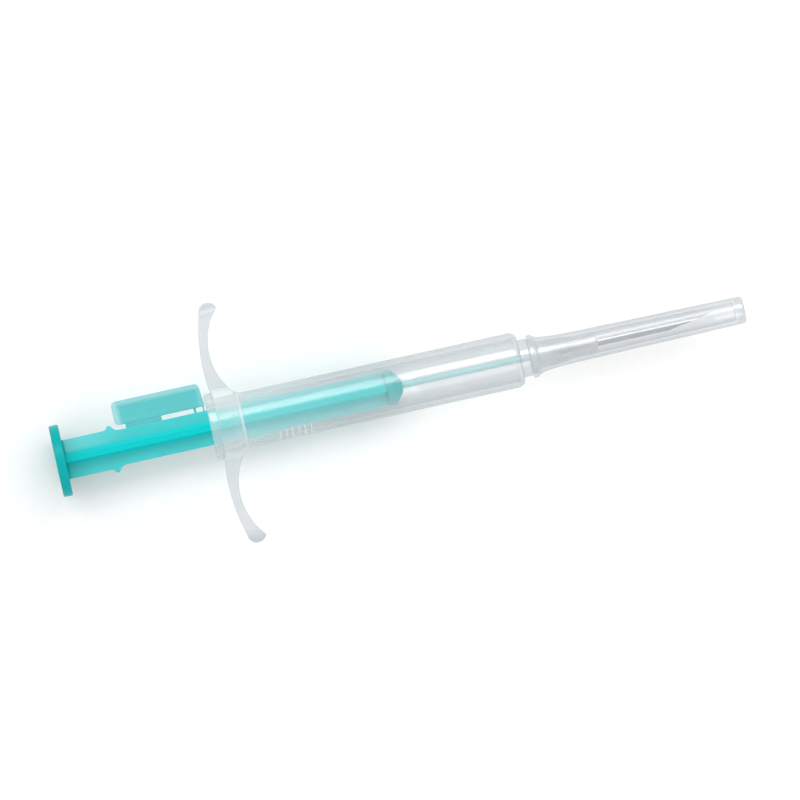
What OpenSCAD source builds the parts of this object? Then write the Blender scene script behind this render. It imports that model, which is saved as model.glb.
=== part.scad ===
// Single-use transponder implanter: a plunger drives a push pin through a bevelled
// needle and lays a glass transponder under the skin.
//
// The origin is the middle of the thumb flange's rear face. +X runs along the axis to
// the needle, and +Y is the side that carries the safety tab. The finger wings lie in
// the XY plane.

/* [Barrel] */
// Thumb face to the barrel's rear flange
barrel_rear = 32.6; // [32.6:0.2:36]
// Barrel's rear flange to its front shoulder
barrel_len = 65.6; // [65.6:0.1:66.2]
// Outer radius of the barrel
barrel_r = 5.75; // [5.7:0.05:6]
// Radius of the bore
bore_r = 4.6; // [4.58:0.02:4.7]
// Outer radius of the barrel's rear flange
barrel_flange_r = 7.0; // [6.8:0.1:7.4]
// Thickness of the barrel's front wall
front_wall = 0.9; // [0.8:0.1:1.2]
// Radius of the nozzle at its root
nozzle_r = 1.9; // [1.85:0.01:1.95]
// Number of raised marks on the barrel
mark_count = 6; // [3:1:7]

/* [Finger grip] */
// Length of the grip's collar
grip_len = 5.2; // [5:0.1:6]
// Reach of a wing tip from the axis
wing_reach = 25.25; // [24:0.05:26]
// Width of a wing across the finger
wing_width = 9; // [7:0.5:11]

/* [Plunger] */
// Radius of the thumb flange
thumb_r = 7.5; // [7:0.1:8.5]
// Thickness of the thumb flange
thumb_len = 2.0; // [1.5:0.1:2.4]
// Distance that the plunger travels
stroke = 24; // [23:0.1:24]
// Half width of the shaft's webs
shaft_half = 3.65; // [3.6:0.05:3.85]
// Reach of the locking nubs from the axis
nub_reach = 4.9; // [4.6:0.02:4.9]
// Reach of the retaining barbs from the axis
barb_reach = 4.48; // [4.2:0.02:4.5]
// Radius of the plunger's head
head_r = 3.75; // [3.7:0.05:4.1]

/* [Safety tab] */
// Length of the tab along the plunger
tab_len = 18.9; // [17:0.1:19]
// Width of the tab's plate
tab_width = 4.9; // [4:0.1:7]
// Thickness of the tab's rim
tab_thick = 1.7; // [1.4:0.1:2]

/* [Needle] */
// Outside radius of the 15 gauge tube
needle_r = 0.915; // [0.9:0.005:0.93]
// Inside radius of the thin-walled tube
needle_bore_r = 0.775; // [0.77:0.005:0.79]
// Length of the needle in front of the hub
needle_out = 25.4; // [24:0.1:26]
// Length of the needle's bevel
bevel_len = 10.3; // [6:0.1:11]
// Radius of the push pin
pin_r = 0.68; // [0.6:0.01:0.69]

/* [Needle cap] */
// Outside radius of the cap near its closed end
cap_tip_r = 2.85; // [2.7:0.05:3]
// Outside radius of the bead round the cap's mouth
cap_bead_r = 4.5; // [4.4:0.05:4.8]

/* [Transponder] */
// Radius of the glass capsule
capsule_r = 0.7; // [0.66:0.01:0.71]
// Length of the glass capsule
capsule_len = 8; // [7.9:0.05:8.2]
// Thickness of the glass
capsule_wall = 0.12; // [0.1:0.01:0.14]

/* [Hidden] */
$fn = 96;

// gap left between pieces that are pressed or bonded together
fit = 0.01;

// barrel, from its rear flange to the nozzle
barrel_flange_len = 1.8;
rear_swell = 0.06;
plain_x = barrel_rear + 22.4;
shoulder_x = barrel_rear + barrel_len;
shoulder_round = 1.6;
front_inner = shoulder_x - front_wall;
neck_r = 3.9;
neck_len = 1.8;
nozzle_x = shoulder_x + neck_len;
nozzle_end = nozzle_x + 5.4;
nozzle_end_r = nozzle_r - 0.16;
pin_hole_r = pin_r + 0.1;

// mouth of the barrel: a lip, then a groove that the locking nubs come to rest in
lip_r = 4.98;
groove_r = 5.15;
groove_x = barrel_rear + 2.3;
groove_end = groove_x + 2.4;

// raised marks round one side of the barrel
mark_x = barrel_rear + 13.6;
mark_pitch = 1.3;
mark_width = 0.4;
mark_height = 0.12;
mark_from = 38;
mark_arc = 32;

// finger grip
grip_x = barrel_rear + barrel_flange_len;
grip_end = grip_x + grip_len;
grip_step = 0.5;
grip_cone_x = grip_x + 2.8;
grip_end_r = barrel_r + 0.35;
wing_front_r = 13.6;
wing_front = [grip_x + 14.8, 14.8];
wing_back_r = 38;
wing_back = [grip_x + 37.3, 12.5];
wing_tip_r = 1.95;
wing_tip = [grip_x + 2.8, wing_reach - wing_tip_r];
wing_corner = 2.5;
wing_room = 4;

// plunger
web = 1.2;
rib = 1.4;
heel_half = shaft_half + 0.42;
web_root = thumb_len - 0.5;
nub_x = (groove_x + groove_end) / 2 - stroke;
nub_top = 0.3;
nub_foot = 0.8;
barb_x = barrel_rear + 7.2;
barb_rise = 0.7;
barb_top = 1.5;
barb_tail = 9;
head_taper = 0.15;
head_front = front_inner - 0.2 - stroke;
head_x = head_front - 3.3;
head_disc = 1.4;
boss_r = 1.3;
boss_x = head_x - 4.5;
pin_rear = head_x - 3.5;

// safety tab
tab_front = barrel_rear - 0.2;
tab_y = shaft_half + 0.95;
tab_slip = 0.02;
tab_rim = 0.9;
tab_recess = 0.2;
tab_corner = 0.8;
tab_lean = 0.4;
bridge_thin = 0.4;
bridge_thick = 0.7;

// needle and hub
hub_x = nozzle_x + 0.1;
hub_flange_r = 3.65;
hub_flange_end = hub_x + 1.2;
hub_r = 2.5;
hub_step_x = hub_x + 5.9;
nose_x = hub_x + 8;
nose_r = 1.8;
nose_ring_r = nose_r + 0.3;
nose_ring_len = 0.5;
fin = 0.4;
fin_rise = 0.2;
hub_front = hub_x + 14;
fin_end = hub_front - 1.5;
socket_end = nozzle_end + 0.1;
well_x = hub_front - 1.2;
well_r = needle_r + 0.5;
needle_rear = socket_end + 0.1;
needle_tip = hub_front + needle_out;

// needle cap
cap_x = nozzle_x + 0.1;
cap_mouth_r = hub_flange_r + 0.06;
cap_bead_end = cap_x + 0.9;
cap_skirt_r = 3.9;
cap_round = 0.7;
cap_cavity_end = needle_tip + 3.9;
cap_cavity_end_r = cap_tip_r - 0.9;
cap_front = cap_cavity_end + 2;

// transponder, which starts against the push pin
pin_tip = needle_tip - 5 - stroke;
capsule_x = pin_tip + 0.1;
capsule_end = capsule_x + capsule_len;
capsule_in_r = capsule_r - capsule_wall;
ferrite_x = capsule_x + 2.5;
ferrite_end = ferrite_x + 4.8;
ferrite_r = 0.28;
coil_r = 0.46;
coil_inset = 0.35;
lead_r = 0.03;
board = [1.1, 0.74, 0.12];
board_x = ferrite_x - 0.1 - board[0];
die = [0.6, 0.5, 0.15];

// Turns [x, radius] points round the X axis.
module turned(points) {
    rotate([0, 90, 0])
        rotate_extrude()
            polygon([for (p = points) [p[1], p[0]]]);
}

// A cylinder along X from x0 to x1.
module bar(r, x0, x1) {
    translate([x0, 0, 0])
        rotate([0, 90, 0])
            cylinder(r = r, h = x1 - x0);
}

// A block given by its lowest and highest corners.
module block(low, high) {
    translate(low) cube(high - low);
}

// Points of a rounded edge on a turned piece's front face (side = 1) or rear face (side = -1).
function round_edge(x, r, f, side) = [
    for (i = side > 0 ? [0 : 1 : 4] : [4 : -1 : 0])
        [x - side * f * (1 - sin(22.5 * i)), r - f * (1 - cos(22.5 * i))]
];

module marks() {
    for (i = [0 : mark_count - 1])
        translate([mark_x + i * mark_pitch, 0, 0])
            rotate([0, 90, 0])
                rotate([0, 0, 180 + mark_from])
                    rotate_extrude(angle = mark_arc)
                        translate([barrel_r, 0])
                            polygon([
                                [-0.3, 0],
                                [0, 0],
                                [rear_swell + mark_height, mark_width / 2],
                                [0, mark_width],
                                [-0.3, mark_width]
                            ]);
}

module barrel() {
    color("white", 0.5)
        difference() {
            union() {
                turned(concat(
                    [[barrel_rear, 0]],
                    round_edge(barrel_rear, barrel_flange_r, 0.3, -1),
                    [
                        [grip_x, barrel_flange_r],
                        [grip_x, barrel_r],
                        [grip_end + fit, barrel_r],
                        [grip_end + fit, barrel_r + rear_swell],
                        [plain_x, barrel_r]
                    ],
                    round_edge(shoulder_x, barrel_r, shoulder_round, 1),
                    [
                        [shoulder_x, neck_r],
                        [nozzle_x, neck_r],
                        [nozzle_x, nozzle_r],
                        [nozzle_end, nozzle_end_r],
                        [nozzle_end, 0]
                    ]
                ));
                marks();
            }
            turned([
                [barrel_rear - 1, 0],
                [barrel_rear - 1, lip_r + 0.35],
                [barrel_rear, lip_r + 0.35],
                [barrel_rear + 0.9, lip_r],
                [groove_x, lip_r],
                [groove_x, groove_r],
                [groove_end, groove_r],
                [groove_end + 0.8, bore_r],
                [front_inner, bore_r],
                [front_inner, 0]
            ]);
            bar(pin_hole_r, front_inner - 1, nozzle_end + 1);
        }
}

// One wing's outline in the XY plane: it follows an arc on its rear side, flares along a
// tighter arc on its front side and ends in a round tip.
module wing_outline() {
    difference() {
        union() {
            intersection() {
                translate(wing_back) circle(r = wing_back_r);
                translate([grip_x - wing_room, 0])
                    square([wing_room + grip_len - grip_step, wing_tip[1]]);
            }
            translate(wing_tip) circle(r = wing_tip_r);
        }
        translate(wing_front) circle(r = wing_front_r);
    }
}

// One wing seen from the needle's end: a blade with round corners at its tip.
module wing_blade() {
    side = wing_width / 2;
    corner_y = wing_reach - wing_corner;
    translate([-side, 0]) square([wing_width, corner_y]);
    translate([wing_corner - side, 0]) square([wing_width - 2 * wing_corner, wing_reach]);
    for (s = [-1, 1])
        translate([s * (side - wing_corner), corner_y]) circle(r = wing_corner);
}

module wing() {
    intersection() {
        linear_extrude(height = wing_width + 2, center = true) wing_outline();
        translate([grip_x - wing_room, 0, 0])
            rotate([0, 90, 0])
                linear_extrude(height = wing_room + 2 * grip_len) wing_blade();
    }
}

module finger_grip() {
    color("white", 0.5)
        difference() {
            union() {
                turned([
                    [grip_x + fit, 0],
                    [grip_x + fit, barrel_flange_r],
                    [grip_cone_x, barrel_flange_r],
                    [grip_end - grip_step, grip_end_r + 0.2],
                    [grip_end - grip_step, grip_end_r],
                    [grip_end, grip_end_r],
                    [grip_end, 0]
                ]);
                wing();
                mirror([0, 1, 0]) wing();
            }
            bar(barrel_r + fit, grip_x, grip_end + 10);
            bar(barrel_flange_r + 0.05, barrel_rear - 5, grip_x + fit);
        }
}

// Half of the web that carries the nubs and barbs, on the +Y side.
module web_outline() {
    polygon([
        [web_root, 0],
        [web_root, heel_half],
        [nub_x - nub_foot - 0.6, heel_half],
        [nub_x - nub_foot, heel_half + 0.12],
        [nub_x - nub_top, nub_reach],
        [nub_x + nub_top, nub_reach],
        [nub_x + nub_foot, heel_half + 0.1],
        [nub_x + nub_foot + 0.4, shaft_half + 0.2],
        [nub_x + nub_foot + 1.2, shaft_half],
        [barb_x, shaft_half],
        [barb_x + barb_rise, barb_reach],
        [barb_x + barb_rise + barb_top, barb_reach],
        [barb_x + barb_tail, shaft_half],
        [head_x + 0.5, shaft_half - head_taper],
        [head_x + 0.5, 0]
    ]);
}

module plunger() {
    rib_half = shaft_half - 0.1;
    color("turquoise")
        difference() {
            union() {
                turned(concat(
                    [[0, 0]],
                    round_edge(0, thumb_r, 0.35, -1),
                    round_edge(thumb_len, thumb_r, 0.35, 1),
                    [[thumb_len, 0]]
                ));
                linear_extrude(height = web, center = true) {
                    web_outline();
                    mirror([0, 1]) web_outline();
                }
                block([web_root, -rib / 2, -rib_half], [head_x + 0.5, rib / 2, rib_half]);
                turned([
                    [head_x, 0],
                    [head_x, head_r],
                    [head_x + head_disc, head_r],
                    [head_front, boss_r],
                    [head_front, 0]
                ]);
                bar(boss_r, boss_x, head_x + 0.5);
            }
            bar(pin_r + fit, pin_rear, head_front + 1);
        }
}

module push_pin() {
    color("turquoise")
        turned([
            [pin_rear + fit, 0],
            [pin_rear + fit, pin_r],
            [pin_tip - 0.15, pin_r],
            [pin_tip, pin_r - 0.15],
            [pin_tip, 0]
        ]);
}

// The tab's outline, drawn in by inset. Its front edge leans back towards its top.
module tab_outline(inset) {
    corner = tab_corner;
    nip = corner * 0.3;
    rear = tab_front - tab_len + inset;
    front = tab_front - inset;
    top = front - tab_lean;
    low = tab_y + inset;
    high = tab_y + tab_width - inset;
    polygon([
        [rear + corner, low],
        [rear + nip, low + nip],
        [rear, low + corner],
        [rear, high - corner],
        [rear + nip, high - nip],
        [rear + corner, high],
        [top - corner, high],
        [top - nip, high - nip],
        [top, high - corner],
        [front, low + corner * 0.5],
        [front - corner * 0.4, low]
    ]);
}

// A tear bridge from the tab down to the shaft's edge.
module bridge(x0, x1, thick) {
    block([x0, shaft_half + tab_slip, -thick / 2], [x1, tab_y + 0.4, thick / 2]);
}

module safety_tab() {
    floor_z = tab_thick / 2 - tab_recess;
    color("mediumturquoise") {
        difference() {
            linear_extrude(height = tab_thick, center = true) tab_outline(0);
            for (z = [floor_z, -floor_z - 1])
                translate([0, 0, z]) linear_extrude(height = 1) tab_outline(tab_rim);
        }
        bridge(tab_front - 16.8, tab_front - 9.2, bridge_thin);
        bridge(tab_front - 2.4, tab_front - 1.9, bridge_thick);
        bridge(tab_front - 0.5, tab_front - 0.2, bridge_thick);
    }
}

module needle_hub() {
    color("white", 0.6)
        difference() {
            union() {
                turned([
                    [hub_x, 0],
                    [hub_x, hub_flange_r],
                    [hub_flange_end, hub_flange_r],
                    [hub_flange_end, hub_r],
                    [hub_step_x, hub_r - 0.05],
                    [nose_x - nose_ring_len, nose_ring_r],
                    [nose_x, nose_ring_r],
                    [nose_x, nose_r],
                    [hub_front, nose_r - 0.05],
                    [hub_front, 0]
                ]);
                for (a = [0 : 90 : 270])
                    rotate([a, 0, 0])
                        block(
                            [nose_x - fit, -fin / 2, nose_r - fin],
                            [fin_end, fin / 2, nose_r + fin_rise]
                        );
            }
            // socket on the nozzle's taper
            turned([
                [hub_x - 1, 0],
                [hub_x - 1, nozzle_r + fit],
                [nozzle_x, nozzle_r + fit],
                [nozzle_end, nozzle_end_r + fit],
                [socket_end, nozzle_end_r + fit],
                [socket_end, 0]
            ]);
            bar(needle_r + fit, socket_end - 1, hub_front + 1);
            // well for the adhesive
            turned([
                [well_x, 0],
                [well_x, needle_r],
                [hub_front, well_r],
                [hub_front + 1, well_r],
                [hub_front + 1, 0]
            ]);
        }
}

module hub_adhesive() {
    color("ivory")
        difference() {
            turned([
                [well_x + 0.1, 0],
                [well_x + 0.1, needle_r + 0.03],
                [hub_front, well_r - fit],
                [hub_front + 0.3, needle_r + 0.12],
                [hub_front + 0.3, 0]
            ]);
            bar(needle_r + fit, well_x - 1, hub_front + 1);
        }
}

// The bevel faces -Y, so the sharp tip is on the tab's side.
module cannula() {
    color("silver")
        difference() {
            bar(needle_r, needle_rear, needle_tip);
            bar(needle_bore_r, needle_rear - 1, needle_tip + 1);
            linear_extrude(height = 4, center = true)
                polygon([
                    [needle_tip - bevel_len, -needle_r],
                    [needle_tip, needle_r],
                    [needle_tip + 1, needle_r],
                    [needle_tip + 1, -needle_r - 1],
                    [needle_tip - bevel_len, -needle_r - 1]
                ]);
        }
}

module needle_cap() {
    color("white", 0.3)
        difference() {
            turned(concat(
                [
                    [cap_x, 0],
                    [cap_x, cap_bead_r - 0.2],
                    [cap_x + 0.2, cap_bead_r],
                    [cap_bead_end, cap_bead_r],
                    [cap_bead_end + 0.3, cap_bead_r - 0.3],
                    [cap_bead_end + 0.8, cap_skirt_r],
                    [cap_bead_end + 1.4, cap_skirt_r - 0.2],
                    [cap_bead_end + 2.8, cap_skirt_r - 0.4],
                    [cap_bead_end + 4.7, cap_skirt_r - 0.58],
                    [cap_bead_end + 8, cap_skirt_r - 0.7],
                    [cap_bead_end + 24.3, cap_tip_r + 0.17],
                    [cap_cavity_end, cap_tip_r]
                ],
                round_edge(cap_front, cap_tip_r - 0.03, cap_round, 1),
                [[cap_front, 0]]
            ));
            turned([
                [cap_x - 1, 0],
                [cap_x - 1, cap_mouth_r],
                [hub_flange_end + 0.1, cap_mouth_r],
                [hub_flange_end + 0.7, hub_r + 0.35],
                [hub_step_x + 0.1, hub_r + 0.2],
                [nose_x + 1, nose_r + 0.5],
                [cap_cavity_end, cap_cavity_end_r],
                [cap_cavity_end, 0]
            ]);
        }
}

// A round-ended bar along X.
module pill(r, x0, x1) {
    bar(r, x0 + r, x1 - r);
    for (x = [x0 + r, x1 - r])
        translate([x, 0, 0]) sphere(r = r);
}

module glass_capsule() {
    color("lightcyan", 0.4)
        difference() {
            pill(capsule_r, capsule_x, capsule_end);
            pill(capsule_in_r, capsule_x + capsule_wall, capsule_end - capsule_wall);
        }
}

module ferrite_core() {
    color("dimgray") bar(ferrite_r, ferrite_x, ferrite_end);
}

// The coil's winding and the two leads that run back from it to the circuit board.
module antenna_coil() {
    coil_x = ferrite_x + coil_inset;
    color("chocolate")
        difference() {
            union() {
                bar(coil_r, coil_x, ferrite_end - coil_inset);
                for (y = [-0.33, 0.33])
                    translate([0, y, lead_r + fit]) bar(lead_r, ferrite_x - 0.5, coil_x + 0.1);
            }
            bar(ferrite_r + fit, ferrite_x - 1, ferrite_end + 1);
        }
}

module ic_module() {
    low = [board_x, -board[1] / 2, -board[2]];
    color("darkgreen") {
        block(low, low + board);
        block([board_x + 0.1, -die[1] / 2, -0.01], [board_x + 0.1 + die[0], die[1] / 2, die[2]]);
    }
}

// Cured adhesive that beds the circuit in the capsule's rear half.
module capsule_adhesive() {
    half = board[1] / 2 + fit;
    color("gainsboro", 0.5)
        difference() {
            bar(capsule_in_r - fit, board_x - 0.2, ferrite_x - 0.02);
            block([board_x - fit, -half, -board[2] - fit], [ferrite_x, half, die[2] + fit]);
        }
}

barrel();
finger_grip();
needle_hub();
cannula();
hub_adhesive();
plunger();
push_pin();
safety_tab();
needle_cap();
glass_capsule();
ferrite_core();
antenna_coil();
ic_module();
capsule_adhesive();
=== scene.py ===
"""Studio view of a single-use transponder implanter syringe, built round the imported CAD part."""
import math

import bmesh
import bpy
from mathutils import Matrix, Vector


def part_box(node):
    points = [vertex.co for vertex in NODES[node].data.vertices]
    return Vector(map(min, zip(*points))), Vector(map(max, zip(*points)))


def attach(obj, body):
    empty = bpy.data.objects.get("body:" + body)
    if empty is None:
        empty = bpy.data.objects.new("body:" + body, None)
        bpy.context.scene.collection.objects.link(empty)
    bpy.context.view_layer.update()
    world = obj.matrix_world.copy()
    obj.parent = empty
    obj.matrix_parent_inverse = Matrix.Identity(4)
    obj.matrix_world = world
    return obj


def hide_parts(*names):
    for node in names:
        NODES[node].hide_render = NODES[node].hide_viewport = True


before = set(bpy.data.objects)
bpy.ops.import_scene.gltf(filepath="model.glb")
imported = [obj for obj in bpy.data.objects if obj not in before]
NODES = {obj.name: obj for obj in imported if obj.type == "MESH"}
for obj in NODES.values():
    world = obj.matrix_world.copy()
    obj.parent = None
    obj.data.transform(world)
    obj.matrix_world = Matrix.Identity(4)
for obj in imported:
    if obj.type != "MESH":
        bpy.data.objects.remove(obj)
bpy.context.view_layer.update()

MM = 0.001


# ---------- colours and places ----------

HAZE = dict(light=(0.40, 0.44, 0.465), dark=(0.375, 0.415, 0.44))
HAZE_PALE = (0.50, 0.55, 0.565)
HAZE_RIDGE = (0.57, 0.64, 0.65)
WING = dict(light=(0.48, 0.51, 0.53), dark=(0.455, 0.485, 0.505))
WING_PALE = (0.62, 0.645, 0.65)
HUB = dict(light=(0.46, 0.47, 0.475), dark=(0.43, 0.44, 0.445))
HUB_GLUE = dict(light=(0.60, 0.585, 0.53), dark=(0.54, 0.52, 0.46))
CAPSULE_GLUE = dict(light=(0.66, 0.66, 0.63), dark=(0.6, 0.6, 0.56))
TEAL_THIN = (0.06, 0.53, 0.535)
# painted reflection: a paler teal laid on the plunger's web near the flange
TEAL_PAINTED_REFLECTION = (0.16, 0.60, 0.61)
# the rib's own teal, also laid on the web at the rib's foot as painted light against the shade
# there
TEAL = (0.0, 0.60, 0.60)
TEAL_DEEP = (0.0, 0.34, 0.335)
TEAL_PIN = (0.24, 0.56, 0.56)
TAB_THIN = (0.10, 0.47, 0.48)
# painted light: the tab's paler rim, laid over the shade on its recess walls
TAB_RIM_PAINTED_LIGHT = (0.30, 0.57, 0.58)

# where a look changes: an axis, then the ends of the change in mm, none at the first and full
# at the second. |Y| and |Z| are distances from 0, either way.
FLANGE = ("X", 2.5, 2.15)
NEAR_FLANGE = ("X", 16.0, 3.0)
HEAD = ("X", 69.0, 70.0)
TAB_HALF = ("Y", 0.8, 1.6)
# the rib and the web at its foot, where painted light evens out the shade beside the rib
RIB_FOOT = ("|Y|", 1.8, 0.8)
RIB_WIDTH = ("|Y|", 1.2, 0.8)
RIB_CREST = ("|Z|", 2.4, 3.4)
# the tab's rim, where painted light lies over the shade on the recess walls
TAB_REAR = ("X", 15.2, 14.3)
TAB_FRONT = ("X", 31.0, 31.5)
TAB_OUTSIDE = ("Y", 8.25, 8.6)
BARREL_REAR = ("X", 35.2, 34.2)
# the grip's front step, where the denser haze is partly a painted highlight line
GRIP_SEAM = ("X", 38.9, 39.1)
AHEAD_OF_GRIP = ("X", 45.5, 46.0)
TOWARDS_GRIP = ("X", 62.0, 40.0)
# past the plunger's head, where the barrel's denser haze is painted shade
PAST_HEAD = ("X", 73.0, 77.0)
SHOULDER = ("X", 97.0, 98.5)
CAP_END = ("X", 143.2, 143.8)
COLLAR = ("|Y|", 7.5, 6.5)
WING_ROOTS = ("|Y|", 6.0, 8.0)
WING_TIPS = ("|Y|", 21.0, 23.0)
# the same by distance from the syringe's axis, at the tops of the barrel's raised marks
RIDGE_TOPS = (5.79, 5.82)


# ---------- materials ----------

class Graph:
    """A material's node tree, with short calls to add and join nodes."""

    def __init__(self, name):
        self.mat = bpy.data.materials.new(name)
        self.mat.use_nodes = True
        self.tree = self.mat.node_tree
        self.tree.nodes.clear()
        self.out = self.add("ShaderNodeOutputMaterial")
        self.coords = self.add("ShaderNodeTexCoord")
        self.place = None

    def add(self, kind, **settings):
        node = self.tree.nodes.new(kind)
        for key, value in settings.items():
            setattr(node, key, value)
        return node

    def join(self, a, b):
        self.tree.links.new(a, b)

    def mapped(self, scale):
        """Object coordinates, stretched by scale."""
        m = self.add("ShaderNodeMapping")
        m.inputs["Scale"].default_value = scale
        self.join(self.coords.outputs["Object"], m.inputs["Vector"])
        return m.outputs["Vector"]

    def noise(self, scale, detail, stretch=(1, 1, 1)):
        n = self.add("ShaderNodeTexNoise")
        n.inputs["Scale"].default_value = scale
        n.inputs["Detail"].default_value = detail
        self.join(self.mapped(stretch), n.inputs["Vector"])
        return n.outputs["Fac"]

    def bands(self, scale, direction, distortion):
        n = self.add("ShaderNodeTexWave", wave_type="BANDS", bands_direction=direction)
        n.inputs["Scale"].default_value = scale
        n.inputs["Distortion"].default_value = distortion
        n.inputs["Detail"].default_value = 2.0
        self.join(self.coords.outputs["Object"], n.inputs["Vector"])
        return n.outputs["Fac"]

    def spread(self, fac, low, high, at=(0.3, 0.7)):
        """Carries a value from the range at to the range low to high."""
        n = self.add("ShaderNodeMapRange")
        n.inputs["From Min"].default_value = at[0]
        n.inputs["From Max"].default_value = at[1]
        n.inputs["To Min"].default_value = low
        n.inputs["To Max"].default_value = high
        self.join(fac, n.inputs["Value"])
        return n.outputs["Result"]

    def position(self, axis):
        """The place along an axis in metres, or for |Y| and |Z| its distance from 0."""
        if self.place is None:
            self.place = self.add("ShaderNodeSeparateXYZ")
            self.join(self.coords.outputs["Object"], self.place.inputs[0])
        value = self.place.outputs[axis.strip("|")]
        return self.maths("ABSOLUTE", value) if "|" in axis else value

    def along(self, axis, start, end):
        """0 at start and 1 at end, in mm along an axis."""
        return self.spread(self.position(axis), 0, 1, (start * MM, end * MM))

    def radius(self, start, end):
        """0 at start and 1 at end, by distance in mm from the syringe's axis."""
        squares = (self.maths("POWER", self.position(axis), 2) for axis in ("|Y|", "|Z|"))
        value = self.maths("SQRT", self.maths("ADD", *squares))
        return self.spread(value, 0, 1, (start * MM, end * MM))

    def maths(self, operation, a, b=None):
        n = self.add("ShaderNodeMath", operation=operation)
        for socket, value in zip(n.inputs, (a, b)):
            if isinstance(value, (int, float)):
                socket.default_value = value
            elif value is not None:
                self.join(value, socket)
        return n.outputs[0]

    def both(self, a, b):
        """Where two masks meet, or a mask at a lower strength."""
        return self.maths("MULTIPLY", a, b)

    def either(self, a, b):
        """The larger of two masks."""
        return self.maths("MAXIMUM", a, b)

    def blend(self, fac, a, b):
        """A colour between a and b, each a colour or a socket."""
        n = self.add("ShaderNodeMix", data_type="RGBA")
        for socket, value in ((n.inputs[6], a), (n.inputs[7], b)):
            if isinstance(value, tuple):
                socket.default_value = (*value, 1)
            else:
                self.join(value, socket)
        self.join(fac, n.inputs[0])
        return n.outputs[2]

    def mottled(self, texture, light, dark):
        """A colour that wanders from light to dark with a texture."""
        return self.blend(self.spread(texture, 0, 1), light, dark)

    def bump(self, layers):
        """Stacks (height value, strength, distance) layers and returns the normal."""
        normal = None
        for value, strength, distance in layers:
            n = self.add("ShaderNodeBump")
            n.inputs["Strength"].default_value = strength
            n.inputs["Distance"].default_value = distance
            self.join(value, n.inputs["Height"])
            if normal is not None:
                self.join(normal, n.inputs["Normal"])
            normal = n.outputs["Normal"]
        return normal

    def shader(self, color, rough, normal=None, alpha=None, **sockets):
        """A Principled shader. color, rough, normal and alpha are sockets, and the rest are
        plain values."""
        n = self.add("ShaderNodeBsdfPrincipled")
        self.join(color, n.inputs["Base Color"])
        self.join(rough, n.inputs["Roughness"])
        if normal is not None:
            self.join(normal, n.inputs["Normal"])
        if alpha is not None:
            self.join(alpha, n.inputs["Alpha"])
        for key, value in sockets.items():
            n.inputs[key.replace("_", " ")].default_value = value
        self.join(n.outputs["BSDF"], self.out.inputs["Surface"])


def milky(name, light, dark, face, edge, rough=0.12, ior=2.0, solid_and_painted_light=(), pale=None, raised=None):
    """Clear polypropylene with a slight haze. Its density is face where a wall is seen square
    on, and edge where it is seen edge on and so looks thicker.

    The argument after ior lists (place, density) where the haze is denser: where solid plastic
    takes the place of thin walls, and on thin walls as painted shade or a painted highlight;
    pale is (place, colour) for a whiter haze, and raised is (density, colour) for the raised
    marks.
    """
    g = Graph(name)
    mottle = g.noise(140, 3)
    flow = g.noise(70, 3, (1, 5, 5))
    skin = g.noise(4200, 2)
    color = g.mottled(mottle, light, dark)
    if pale:
        place, whiter = pale
        color = g.blend(g.along(*place), color, whiter)
    slant = g.add("ShaderNodeLayerWeight")
    slant.inputs["Blend"].default_value = 0.5
    haze = g.spread(slant.outputs["Facing"], face, edge, (0, 1))
    for place, density in solid_and_painted_light:
        haze = g.either(haze, g.both(g.along(*place), density))
    if raised:
        density, whiter = raised
        ridge = g.both(g.radius(*RIDGE_TOPS), g.along(*AHEAD_OF_GRIP))
        color = g.blend(ridge, color, whiter)
        haze = g.either(haze, g.both(ridge, density))
    haze = g.both(haze, g.spread(flow, 0.96, 1.04))
    normal = g.bump([(flow, 0.012, 0.0003), (skin, 0.015, 0.00002)])
    roughness = g.spread(flow, rough * 0.85, rough * 1.2)
    g.shader(color, roughness, normal, haze, IOR=ior, Specular_IOR_Level=1.0)
    return g.mat


def coloured(name, thin, tones=None, specular=0.1):
    """Teal polypropylene in the colour of its thin walls. tones takes the graph and gives
    (mask, colour) pairs, which are laid over that colour in turn."""
    g = Graph(name)
    mottle = g.noise(120, 3)
    flow = g.noise(80, 3, (1, 5, 5))
    skin = g.noise(4600, 2)
    darker = tuple(c * 0.9 + 0.01 for c in thin)
    color = g.mottled(mottle, thin, darker)
    for mask, tone in tones(g) if tones else ():
        color = g.blend(mask, color, tone)
    normal = g.bump([(flow, 0.08, 0.0003), (skin, 0.1, 0.00002)])
    rough = 0.28
    g.shader(color, g.spread(flow, rough * 0.8, rough * 1.2), normal,
             IOR=1.49, Specular_IOR_Level=specular)
    return g.mat


def plunger_tones(g):
    """Lighter near the flange in the tab's half, as a painted reflection; plain teal on the rib,
    and on the web at its foot as painted light against the shade beside the rib; deep in the
    flange, nearly as deep in the head and half as deep on the rib's crest."""
    # painted reflection: paler teal on the web near the flange, in the tab's half only
    light = g.both(g.along(*NEAR_FLANGE), g.along(*TAB_HALF))
    # painted light: the rib's teal spreads onto the web at its foot, against the shade beside the
    # rib
    foot = g.along(*RIB_FOOT)
    head = g.along(*HEAD)
    flange = g.along(*FLANGE)
    crest = g.both(g.along(*RIB_CREST), g.along(*RIB_WIDTH))
    deep = g.either(flange, g.either(g.both(crest, 0.45), g.both(head, 0.9)))
    return (light, TEAL_PAINTED_REFLECTION), (g.either(foot, head), TEAL), (deep, TEAL_DEEP)


def tab_tones(g):
    """The tab's rim is lighter, most at its rear end and least at its front: painted light
    over the shade on the recess walls.
    """
    outside = g.both(g.along(*TAB_OUTSIDE), 0.7)
    front = g.both(g.along(*TAB_FRONT), 0.3)
    rim = g.either(g.either(outside, front), g.along(*TAB_REAR))
    return ((rim, TAB_RIM_PAINTED_LIGHT),)


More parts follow.
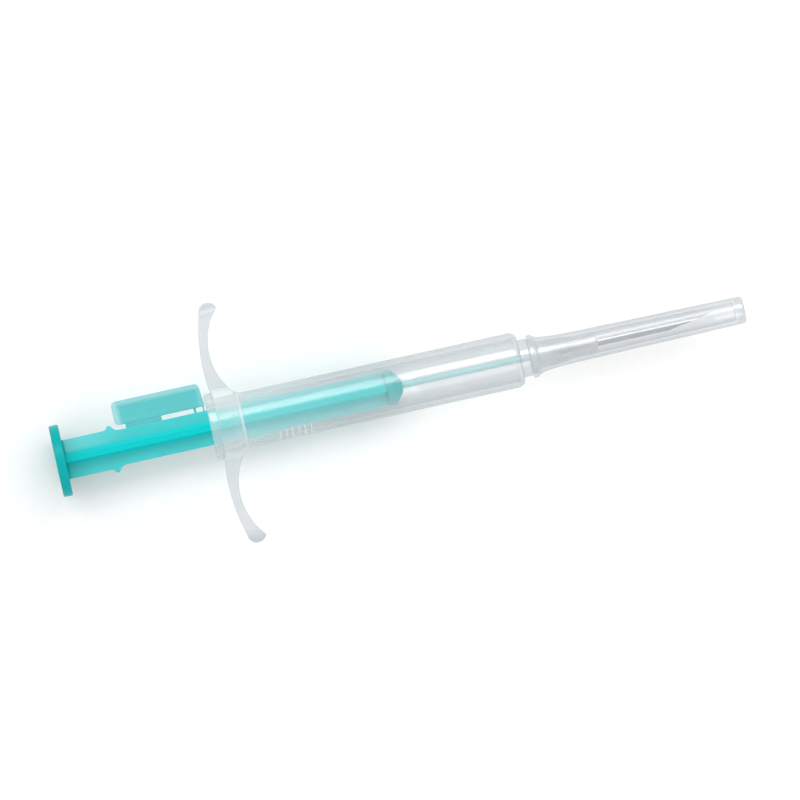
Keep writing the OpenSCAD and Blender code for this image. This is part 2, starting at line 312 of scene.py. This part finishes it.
def steel(name):
    g = Graph(name)
    lines = g.noise(700, 5, (0.04, 1, 1))
    smudge = g.noise(240, 3)
    color = g.mottled(smudge, (0.41, 0.415, 0.43), (0.49, 0.495, 0.51))
    g.shader(color, g.spread(lines, 0.14, 0.28), g.bump([(lines, 0.18, 0.00005)]), Metallic=1.0)
    return g.mat


def ferrite(name):
    g = Graph(name)
    grit = g.noise(9000, 4)
    color = g.mottled(grit, (0.05, 0.05, 0.055), (0.13, 0.125, 0.12))
    g.shader(color, g.spread(grit, 0.45, 0.65), g.bump([(grit, 0.4, 0.00001)]))
    return g.mat


def copper(name):
    g = Graph(name)
    tone = g.noise(3000, 3)
    color = g.mottled(tone, (0.72, 0.30, 0.12), (0.86, 0.42, 0.20))
    g.shader(color, g.spread(tone, 0.2, 0.32), Metallic=1.0, Coat_Weight=0.6)
    return g.mat


def board(name):
    g = Graph(name)
    tracks = g.bands(2600, "Y", 1.5)
    grit = g.noise(7000, 3)
    color = g.blend(g.spread(tracks, 0, 1, (0.55, 0.7)), (0.02, 0.16, 0.07), (0.30, 0.26, 0.08))
    g.shader(color, g.spread(grit, 0.3, 0.5), g.bump([(tracks, 0.3, 0.00001)]))
    return g.mat


def cured(name, light, dark, density):
    """Cured adhesive: glossy and a little uneven."""
    g = Graph(name)
    ripple = g.noise(1400, 3)
    color = g.mottled(ripple, light, dark)
    normal = g.bump([(ripple, 0.3, 0.00004)])
    alpha = g.spread(ripple, density, density + 0.1)
    g.shader(color, g.spread(ripple, 0.08, 0.18), normal, alpha, IOR=1.5)
    return g.mat


def glass(name):
    g = Graph(name)
    draw = g.noise(500, 2, (0.2, 1, 1))
    color = g.mottled(draw, (0.93, 0.98, 0.95), (0.86, 0.95, 0.91))
    normal = g.bump([(draw, 0.06, 0.00002)])
    g.shader(color, g.spread(draw, 0.01, 0.04), normal, Transmission_Weight=1.0, IOR=1.52)
    return g.mat


def floor_paint(name):
    g = Graph(name)
    grain = g.noise(300, 4)
    color = g.mottled(grain, (0.80, 0.795, 0.79), (0.82, 0.815, 0.81))
    g.shader(color, g.spread(grain, 0.6, 0.75), g.bump([(grain, 0.05, 0.0001)]))
    return g.mat


LOOKS = {
    "barrel": milky("barrel_plastic", **HAZE, face=0.14, edge=0.88,
                    # denser haze past the head is painted shade: the floor's shadow seen through
                    # the bore
                    solid_and_painted_light=[(PAST_HEAD, 0.29), (SHOULDER, 0.5), (BARREL_REAR, 0.28)],
                    pale=(TOWARDS_GRIP, HAZE_PALE), raised=(0.8, HAZE_RIDGE)),
    "finger_grip": milky("grip_plastic", **WING, face=0.06, edge=0.85, rough=0.35, ior=1.45,
                         # at the front step the denser haze is partly solid plastic, partly a
                         # painted highlight
                         solid_and_painted_light=[(WING_ROOTS, 0.5), (WING_TIPS, 0.8), (GRIP_SEAM, 0.4)],
                         pale=(COLLAR, WING_PALE)),
    "needle_hub": milky("hub_plastic", **HUB, face=0.45, edge=0.9, rough=0.3),
    "cannula": steel("needle_steel"),
    "hub_adhesive": cured("hub_adhesive", **HUB_GLUE, density=0.6),
    "plunger": coloured("teal_plastic", TEAL_THIN, plunger_tones),
    "push_pin": coloured("teal_pin", TEAL_PIN, specular=1.0),
    "safety_tab": coloured("tab_plastic", TAB_THIN, tab_tones),
    "needle_cap": milky("cap_plastic", **HAZE, face=0.19, edge=0.78, rough=0.2,
                        solid_and_painted_light=[(CAP_END, 0.55)]),
    "glass_capsule": glass("capsule_glass"),
    "ferrite_core": ferrite("ferrite"),
    "antenna_coil": copper("copper"),
    "ic_module": board("circuit_board"),
    "capsule_adhesive": cured("capsule_adhesive", **CAPSULE_GLUE, density=0.5),
}

# how far each moulded or ground piece's sharp edges are rounded, in mm
EDGES = {
    "barrel": 0.05,
    "finger_grip": 0.12,
    "needle_hub": 0.1,
    "plunger": 0.12,
    "push_pin": 0.06,
    "safety_tab": 0.1,
    "needle_cap": 0.12,
    "glass_capsule": 0.05,
}
# these cast no shadow: hazy plastic passes nearly all the light that falls on it, and the tab
# would darken the gap beside it, which is white in the photograph
SHADOWLESS = ("barrel", "finger_grip", "needle_hub", "needle_cap", "safety_tab")


def dress(obj, mat):
    obj.data.materials.clear()
    obj.data.materials.append(mat)


def finish_edges(node, width):
    """Rounds a node's sharp edges by width mm, or keeps them crisp where width is None."""
    for poly in node.data.polygons:
        poly.use_smooth = True
    weld = node.modifiers.new("weld", "WELD")
    weld.merge_threshold = 1e-7
    if width is None:
        split = node.modifiers.new("split", "EDGE_SPLIT")
        split.split_angle = math.radians(30)
        return
    bevel = node.modifiers.new("bevel", "BEVEL")
    bevel.width = width * MM
    bevel.segments = 2
    bevel.limit_method = "ANGLE"
    bevel.angle_limit = math.radians(35)
    bevel.use_clamp_overlap = False
    normals = node.modifiers.new("normals", "WEIGHTED_NORMAL")
    normals.weight = 100


for node_name, node in NODES.items():
    dress(node, LOOKS[node_name])
    finish_edges(node, EDGES.get(node_name))
    node.visible_shadow = node.visible_diffuse = node_name not in SHADOWLESS


# ---------- new objects ----------

def add_object(name, data):
    obj = bpy.data.objects.new(name, data)
    bpy.context.scene.collection.objects.link(obj)
    return obj


def add_mesh(name, bm):
    mesh = bpy.data.meshes.new(name)
    bm.to_mesh(mesh)
    bm.free()
    return add_object(name, mesh)


def stand(obj, at, right, back):
    """Puts an object at a point, looking away from back, with right to its right."""
    up = back.cross(right)
    obj.matrix_world = Matrix((
        (right.x, up.x, back.x, at.x),
        (right.y, up.y, back.y, at.y),
        (right.z, up.z, back.z, at.z),
        (0, 0, 0, 1),
    ))


# ---------- the transponder's coil ----------

def tube(bm, path, radius, sides=6):
    """A closed tube along a path that runs mostly round or along X."""
    rings = []
    for i, point in enumerate(path):
        ahead = path[min(i + 1, len(path) - 1)] - path[max(i - 1, 0)]
        ahead.normalize()
        side = ahead.cross(Vector((1, 0, 0)))
        if side.length < 0.1:
            side = ahead.cross(Vector((0, 0, 1)))
        side.normalize()
        up = side.cross(ahead)
        rings.append([
            bm.verts.new(point + radius * (math.cos(a) * side + math.sin(a) * up))
            for a in (2 * math.pi * k / sides for k in range(sides))
        ])
    for low, high in zip(rings, rings[1:]):
        for k in range(sides):
            n = (k + 1) % sides
            bm.faces.new((low[k], low[n], high[n], high[k]))
    bm.faces.new(rings[0][::-1])
    bm.faces.new(rings[-1])


def make_coil():
    """The wire wound round the ferrite rod, with its two ends led back to the circuit."""
    wire_r = 0.055 * MM
    pitch = 2.1 * wire_r
    steps_a_turn = 24
    lead_r = 0.028 * MM
    lead_y = 0.33 * MM
    lead_z = 0.04 * MM
    lead_length = 0.85 * MM
    lead_steps = 6
    # how far the leads and the turns stay inside the box of the CAD node
    rear_gap = 0.01 * MM
    outer_gap = 0.005 * MM
    low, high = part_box("antenna_coil")
    start = low.x + lead_length + wire_r
    end = high.x - wire_r
    turn_r = high.y - wire_r - outer_gap
    steps = int((end - start) / pitch) * steps_a_turn
    bm = bmesh.new()
    path = []
    for i in range(steps + 1):
        a = 2 * math.pi * i / steps_a_turn
        x = start + (end - start) * i / steps
        path.append(Vector((x, turn_r * math.cos(a), turn_r * math.sin(a))))
    tube(bm, path, wire_r)
    for y in (-lead_y, lead_y):
        rear, front = Vector((low.x + rear_gap, y, lead_z)), Vector((start, y, lead_z))
        lead = [rear.lerp(front, t / lead_steps) for t in range(lead_steps + 1)]
        tube(bm, lead, lead_r)
    bmesh.ops.recalc_face_normals(bm, faces=bm.faces)
    coil = add_mesh("coil_winding", bm)
    for poly in coil.data.polygons:
        poly.use_smooth = True
    dress(coil, LOOKS["antenna_coil"])
    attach(coil, "transponder")
    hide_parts("antenna_coil")


make_coil()


# ---------- stage, light and camera ----------

def make_floor():
    """A plain floor that touches the lowest point of the thumb flange."""
    half_side = 3.0
    bm = bmesh.new()
    bmesh.ops.create_grid(bm, x_segments=8, y_segments=8, size=half_side)
    floor = add_mesh("floor", bm)
    floor.location.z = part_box("plunger")[0].z
    dress(floor, floor_paint("floor_paint"))


def area_light(name, aim, tilt, distance, size, power):
    """A soft rectangle along X, tilt degrees from overhead towards +Y."""
    data = bpy.data.lights.new(name, "AREA")
    data.shape = "RECTANGLE"
    data.size, data.size_y = size
    data.energy = power
    light = add_object(name, data)
    back = Vector((0, math.tan(math.radians(tilt)), 1)).normalized()
    stand(light, aim + back * distance, Vector((1, 0, 0)), back)
    return light


def make_light():
    aim = Vector((72, 0, 0)) * MM
    area_light("key_strip", aim, tilt=34, distance=0.8, size=(1.6, 0.42), power=3.0)
    # the tube's own bright face, which shows only as a highlight
    glint = area_light("glint_strip", aim, tilt=34, distance=0.78, size=(1.6, 0.36), power=5.0)
    glint.visible_diffuse = False
    world = bpy.data.worlds.new("studio")
    world.use_nodes = True
    background = world.node_tree.nodes["Background"]
    background.inputs["Color"].default_value = (0.98, 0.99, 1.0, 1)
    background.inputs["Strength"].default_value = 1.1
    bpy.context.scene.world = world
    bpy.context.scene.view_settings.view_transform = "Standard"
    # a ray crosses many thin walls between the camera and the floor
    bpy.context.scene.cycles.transparent_max_bounces = 32


def make_camera():
    """A long lens nearly overhead, with the syringe's axis rising to the right."""
    target = Vector((72.0, -2.9, 0)) * MM
    distance = 3.0
    frame_width = 0.165
    roll = math.radians(12.5)
    lean_x, lean_y = math.radians(1.2), math.radians(0.5)
    back = Vector((-math.tan(lean_x), -math.tan(lean_y), 1)).normalized()
    right = Vector((math.cos(roll), -math.sin(roll), 0))
    right = (right - back * right.dot(back)).normalized()
    data = bpy.data.cameras.new("camera")
    data.sensor_width = 36
    data.lens = data.sensor_width * distance / frame_width
    data.clip_start, data.clip_end = 0.01, 20
    camera = add_object("camera", data)
    stand(camera, target + back * distance, right, back)
    bpy.context.scene.camera = camera


make_floor()
make_light()
make_camera()
